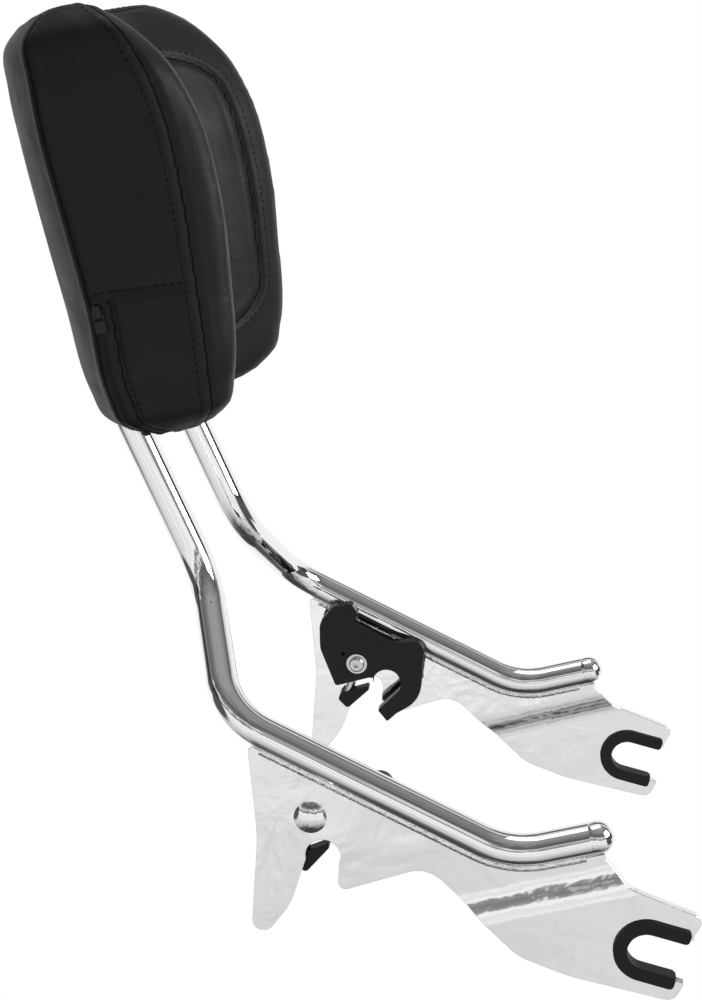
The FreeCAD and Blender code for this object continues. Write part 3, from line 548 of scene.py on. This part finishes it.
padMesh = finishPad(inflate(buildPadForm()))
coverNodes = ("cover_inset_panel", "cover_front_ring", "cover_back_panel", "cover_gusset_upper",
              "cover_gusset_lower", "pad_foam", "zipper_tape")
padCover = addPiece("pad_cover", padMesh, vinyl, "frame", coverNodes, 180)
print("pad filled", len(padMesh.polygons))

bm = bmesh.new()
bm.from_mesh(padMesh)
padSurface = BVHTree.FromBMesh(bm)
bm.free()


def onPad(points, lift):
    out = []
    for p in points:
        place, normal, _, _ = padSurface.find_nearest(p)
        out.append((place + normal * lift * mm, normal))
    return out


def sewn(name, points, closed=False):
    if closed:
        points = points + points[:1]
    marks = onPad(evenly(points, pad["stitchGap"] * mm), 0.0)
    bm = bmesh.new()
    for (here, normal), (after, _) in zip(marks, marks[1:]):
        ahead = (after - here).normalized()
        up = (normal - ahead * normal.dot(ahead)).normalized()
        turn = Matrix((ahead, up.cross(ahead), up)).transposed().to_4x4()
        size = Matrix.Diagonal((pad["stitch"] / 2 * mm, pad["stitchWide"] * mm, pad["stitchHigh"] * mm, 1))
        bmesh.ops.create_icosphere(bm, subdivisions=1, radius=1.0,
                                   matrix=Matrix.Translation(here.lerp(after, 0.5)) @ turn @ size)
    addPiece(name, asMesh(bm, name), thread, "frame", (), 180)


sewn("stitches_gusset", line([sideOf(1.0, b, c, pad["gussetStitch"]) for b, c in walk]), closed=True)
sewn("stitches_inset", line(insetWalk(pad["insetStitch"])), closed=True)
for word, side in sides:
    sewn("stitches_hem_" + word, hemLine(side, pad["hemStitch"]))
zipRow = pad["zipWidth"] + pad["zipStitch"]
sewn("stitches_zip", line([sideOf(-1.0, b, c, zipRow) for b, c in lowWalk]))


def seamCord(name, points, radius, closed=True):
    if closed:
        points = points + points[:1]
    laid = [p / mm for p, _ in onPad(evenly(points, pad["cordStep"] * mm), pad["cordSink"])]
    addPiece(name, rod(laid, radius, 1), thread, "frame", (), 180)


seamCord("seam_line_back", seams["back"], 0.55)
seamCord("seam_line_front", seams["front"], 0.55)
seamCord("seam_line_inset", seams["inset"], 0.5)
seamCord("seam_line_zip", seams["zip"], 0.45, closed=False)


def hemBand(word, side):
    rows = ((-0.4, 0.0), (0.0, 1.3), (3.0, 1.0), (pad["hemStitch"] + 1.5, -0.4))
    bm = bmesh.new()
    previous = None
    for up, lift in rows:
        verts = [bm.verts.new(p) for p, _ in onPad(hemLine(side, up), lift)]
        edges = [bm.edges.new(pair) for pair in zip(verts, verts[1:])]
        if previous:
            bmesh.ops.bridge_loops(bm, edges=previous + edges)
        previous = edges
    bmesh.ops.recalc_face_normals(bm, faces=bm.faces)
    if sum(f.normal.y for f in bm.faces) * side < 0:
        bmesh.ops.reverse_faces(bm, faces=bm.faces)
    addPiece("hem_flap_" + word, asMesh(bm, "hem"), vinyl, "frame", (), 60)


for word, side in sides:
    hemBand(word, side)
zipMiddle = line([sideOf(-1.0, b, c, pad["zipWidth"] / 2) for b, c in lowWalk])
coil = onPad(evenly(zipMiddle, pad["coilMetres"]), pad["coilLift"])
zigzag = []
for i, (place, normal) in enumerate(coil[:-1]):
    across = normal.cross(coil[i + 1][0] - place).normalized()
    reach = pad["coilHalf"] if i % 2 else -pad["coilHalf"]
    zigzag.append((place + across * reach * mm) / mm)
addPiece("zip_coil", rod(zigzag, pad["coilRadius"], 0), zipCloth, "frame", (), 180)
machined("zipper_slider", zipMetal, pad["sliderEdge"], "zip_slider")
machined("zipper_pull", zipMetal, pad["pullEdge"], "zip_pull")
print("pad sewn")


# Floor, light and camera
studio = {"floorDrop": -0.9, "floorFront": 0.6, "floorBack": 8.0, "floorHalf": 6.0,
          "blotch": 0.05, "blotchScale": 6.0, "flag": 0.1, "strip": 0.75,
          "behindY": (0.35, 0.5), "behindZ": (0.4, 0.25), "stripStart": (0.42, 0.52),
          "stripEnd": (0.72, 0.64), "flagX": (0.80, 0.88), "flagZ": (0.4, 0.3)}
bm = bmesh.new()
half, near, far = studio["floorHalf"], studio["floorFront"], studio["floorBack"]
corners = [(x, y, studio["floorDrop"]) for x, y in ((-half, near), (half, near), (half, far), (-half, far))]
bm.faces.new([bm.verts.new(corner) for corner in corners])
floorMesh = asMesh(bm, "floor")
floor = bpy.data.objects.new("floor", floorMesh)
scene.collection.objects.link(floor)


def seenWhite(tree, shaded, leave, kind, mirrorShare):
    light = tree.nodes.new("ShaderNodeLightPath")
    mirrorSight = calc(tree, "MAXIMUM", light.outputs["Is Glossy Ray"], light.outputs["Is Transmission Ray"])
    mirrorWhite = calc(tree, "MULTIPLY", mirrorSight, mirrorShare)
    sight = calc(tree, "MAXIMUM", light.outputs["Is Camera Ray"], mirrorWhite)
    white = tree.nodes.new(kind)
    white.inputs["Color"].default_value = (1, 1, 1, 1)
    mix = tree.nodes.new("ShaderNodeMixShader")
    tree.links.new(sight, mix.inputs[0])
    tree.links.new(shaded.outputs[0], mix.inputs[1])
    tree.links.new(white.outputs[0], mix.inputs[2])
    tree.links.new(mix.outputs[0], leave.inputs["Surface"])


floorMaterial = newMaterial("pale floor", (0.82, 0.82, 0.82), 0.6)
seenWhite(floorMaterial.node_tree, floorMaterial.node_tree.nodes["Principled BSDF"],
          floorMaterial.node_tree.nodes["Material Output"], "ShaderNodeEmission", 1.0)
floorMesh.materials.append(floorMaterial)

# The sky has grey bands by height, a white backdrop and a bright strip behind, and dark flags at both sides
world = bpy.data.worlds.new("studio")
scene.world = world
world.use_nodes = True
tree = world.node_tree
sky = tree.nodes["Background"]
coords = tree.nodes.new("ShaderNodeTexCoord")
parts = tree.nodes.new("ShaderNodeSeparateXYZ")
tree.links.new(coords.outputs["Generated"], parts.inputs["Vector"])
blotches = tree.nodes.new("ShaderNodeTexNoise")
blotches.inputs["Scale"].default_value = studio["blotchScale"]
tree.links.new(coords.outputs["Generated"], blotches.inputs["Vector"])
height = spread(tree, parts.outputs["Z"], -1.0, 1.0)
shift = spread(tree, blotches.outputs["Fac"], 0.3, 0.7, -studio["blotch"], studio["blotch"])
ramp = tree.nodes.new("ShaderNodeValToRGB")
tree.links.new(calc(tree, "ADD", height, shift), ramp.inputs["Fac"])
bands = ((0.0, 0.05), (0.05, 0.10), (0.14, 0.6), (0.29, 0.80), (0.37, 1.0), (0.43, 0.84), (0.48, 1.0),
         (0.545, 1.0), (0.575, 0.3), (0.62, 0.2), (0.65, 0.8), (0.68, 0.8), (0.72, 0.25), (0.79, 0.1),
         (0.88, 0.2), (1.0, 0.36))
for place, grey in bands[1:-1]:
    ramp.color_ramp.elements.new(place).color = (grey, grey, grey, 1)
for end, (place, grey) in ((0, bands[0]), (-1, bands[-1])):
    ramp.color_ramp.elements[end].position = place
    ramp.color_ramp.elements[end].color = (grey, grey, grey, 1)
behind = calc(tree, "MULTIPLY", spread(tree, parts.outputs["Y"], *studio["behindY"]),
              spread(tree, parts.outputs["Z"], *studio["behindZ"]))
strip = calc(tree, "MULTIPLY", spread(tree, parts.outputs["Y"], *studio["stripStart"], 0.0, studio["strip"]),
             spread(tree, parts.outputs["Y"], *studio["stripEnd"]))
lit = calc(tree, "MAXIMUM", calc(tree, "MAXIMUM", ramp.outputs["Color"], strip), behind)
aside = calc(tree, "ABSOLUTE", parts.outputs["X"], 0.0)
flags = calc(tree, "MULTIPLY", spread(tree, aside, *studio["flagX"]),
             spread(tree, parts.outputs["Z"], *studio["flagZ"]))
shade = spread(tree, flags, 0.0, 1.0, 1.0, studio["flag"])
tree.links.new(calc(tree, "MULTIPLY", lit, shade), sky.inputs["Color"])
seenWhite(tree, sky, tree.nodes["World Output"], "ShaderNodeBackground", behind)


def softBox(name, place, target, size, watts):
    data = bpy.data.lights.new(name, "AREA")
    data.shape = "RECTANGLE"
    data.size, data.size_y = size
    data.energy = watts
    lamp = bpy.data.objects.new(name, data)
    lamp.location = place
    lamp.rotation_mode = "QUATERNION"
    lamp.rotation_quaternion = (Vector(target) - Vector(place)).to_track_quat("-Z", "Y")
    scene.collection.objects.link(lamp)


lamps = {"frontKey": {"place": (1.7, -0.5, 1.2), "target": (-0.3, 0, 0.35),
                      "size": (1.2, 1.2), "watts": 44.0},
         "topRim": {"place": (-0.4, 0.4, 2.0), "target": (-0.3, 0, 0.3),
                    "size": (1.5, 1.0), "watts": 8.0}}
for name, settings in lamps.items():
    softBox(name, **settings)

view = {"lens": 61.2, "sensor": 36.0, "near": 0.05, "place": (-0.0820, -1.1912, 0.6019),
        "ahead": (-0.1091, 0.9558, -0.2729)}
cameraData = bpy.data.cameras.new("camera")
cameraData.lens = view["lens"]
cameraData.sensor_width = view["sensor"]
cameraData.clip_start = view["near"]
camera = bpy.data.objects.new("camera", cameraData)
camera.location = view["place"]
camera.rotation_mode = "QUATERNION"
camera.rotation_quaternion = Vector(view["ahead"]).to_track_quat("-Z", "Y")
scene.collection.objects.link(camera)
scene.camera = camera
scene.view_settings.view_transform = "Standard"
print("studio ready")
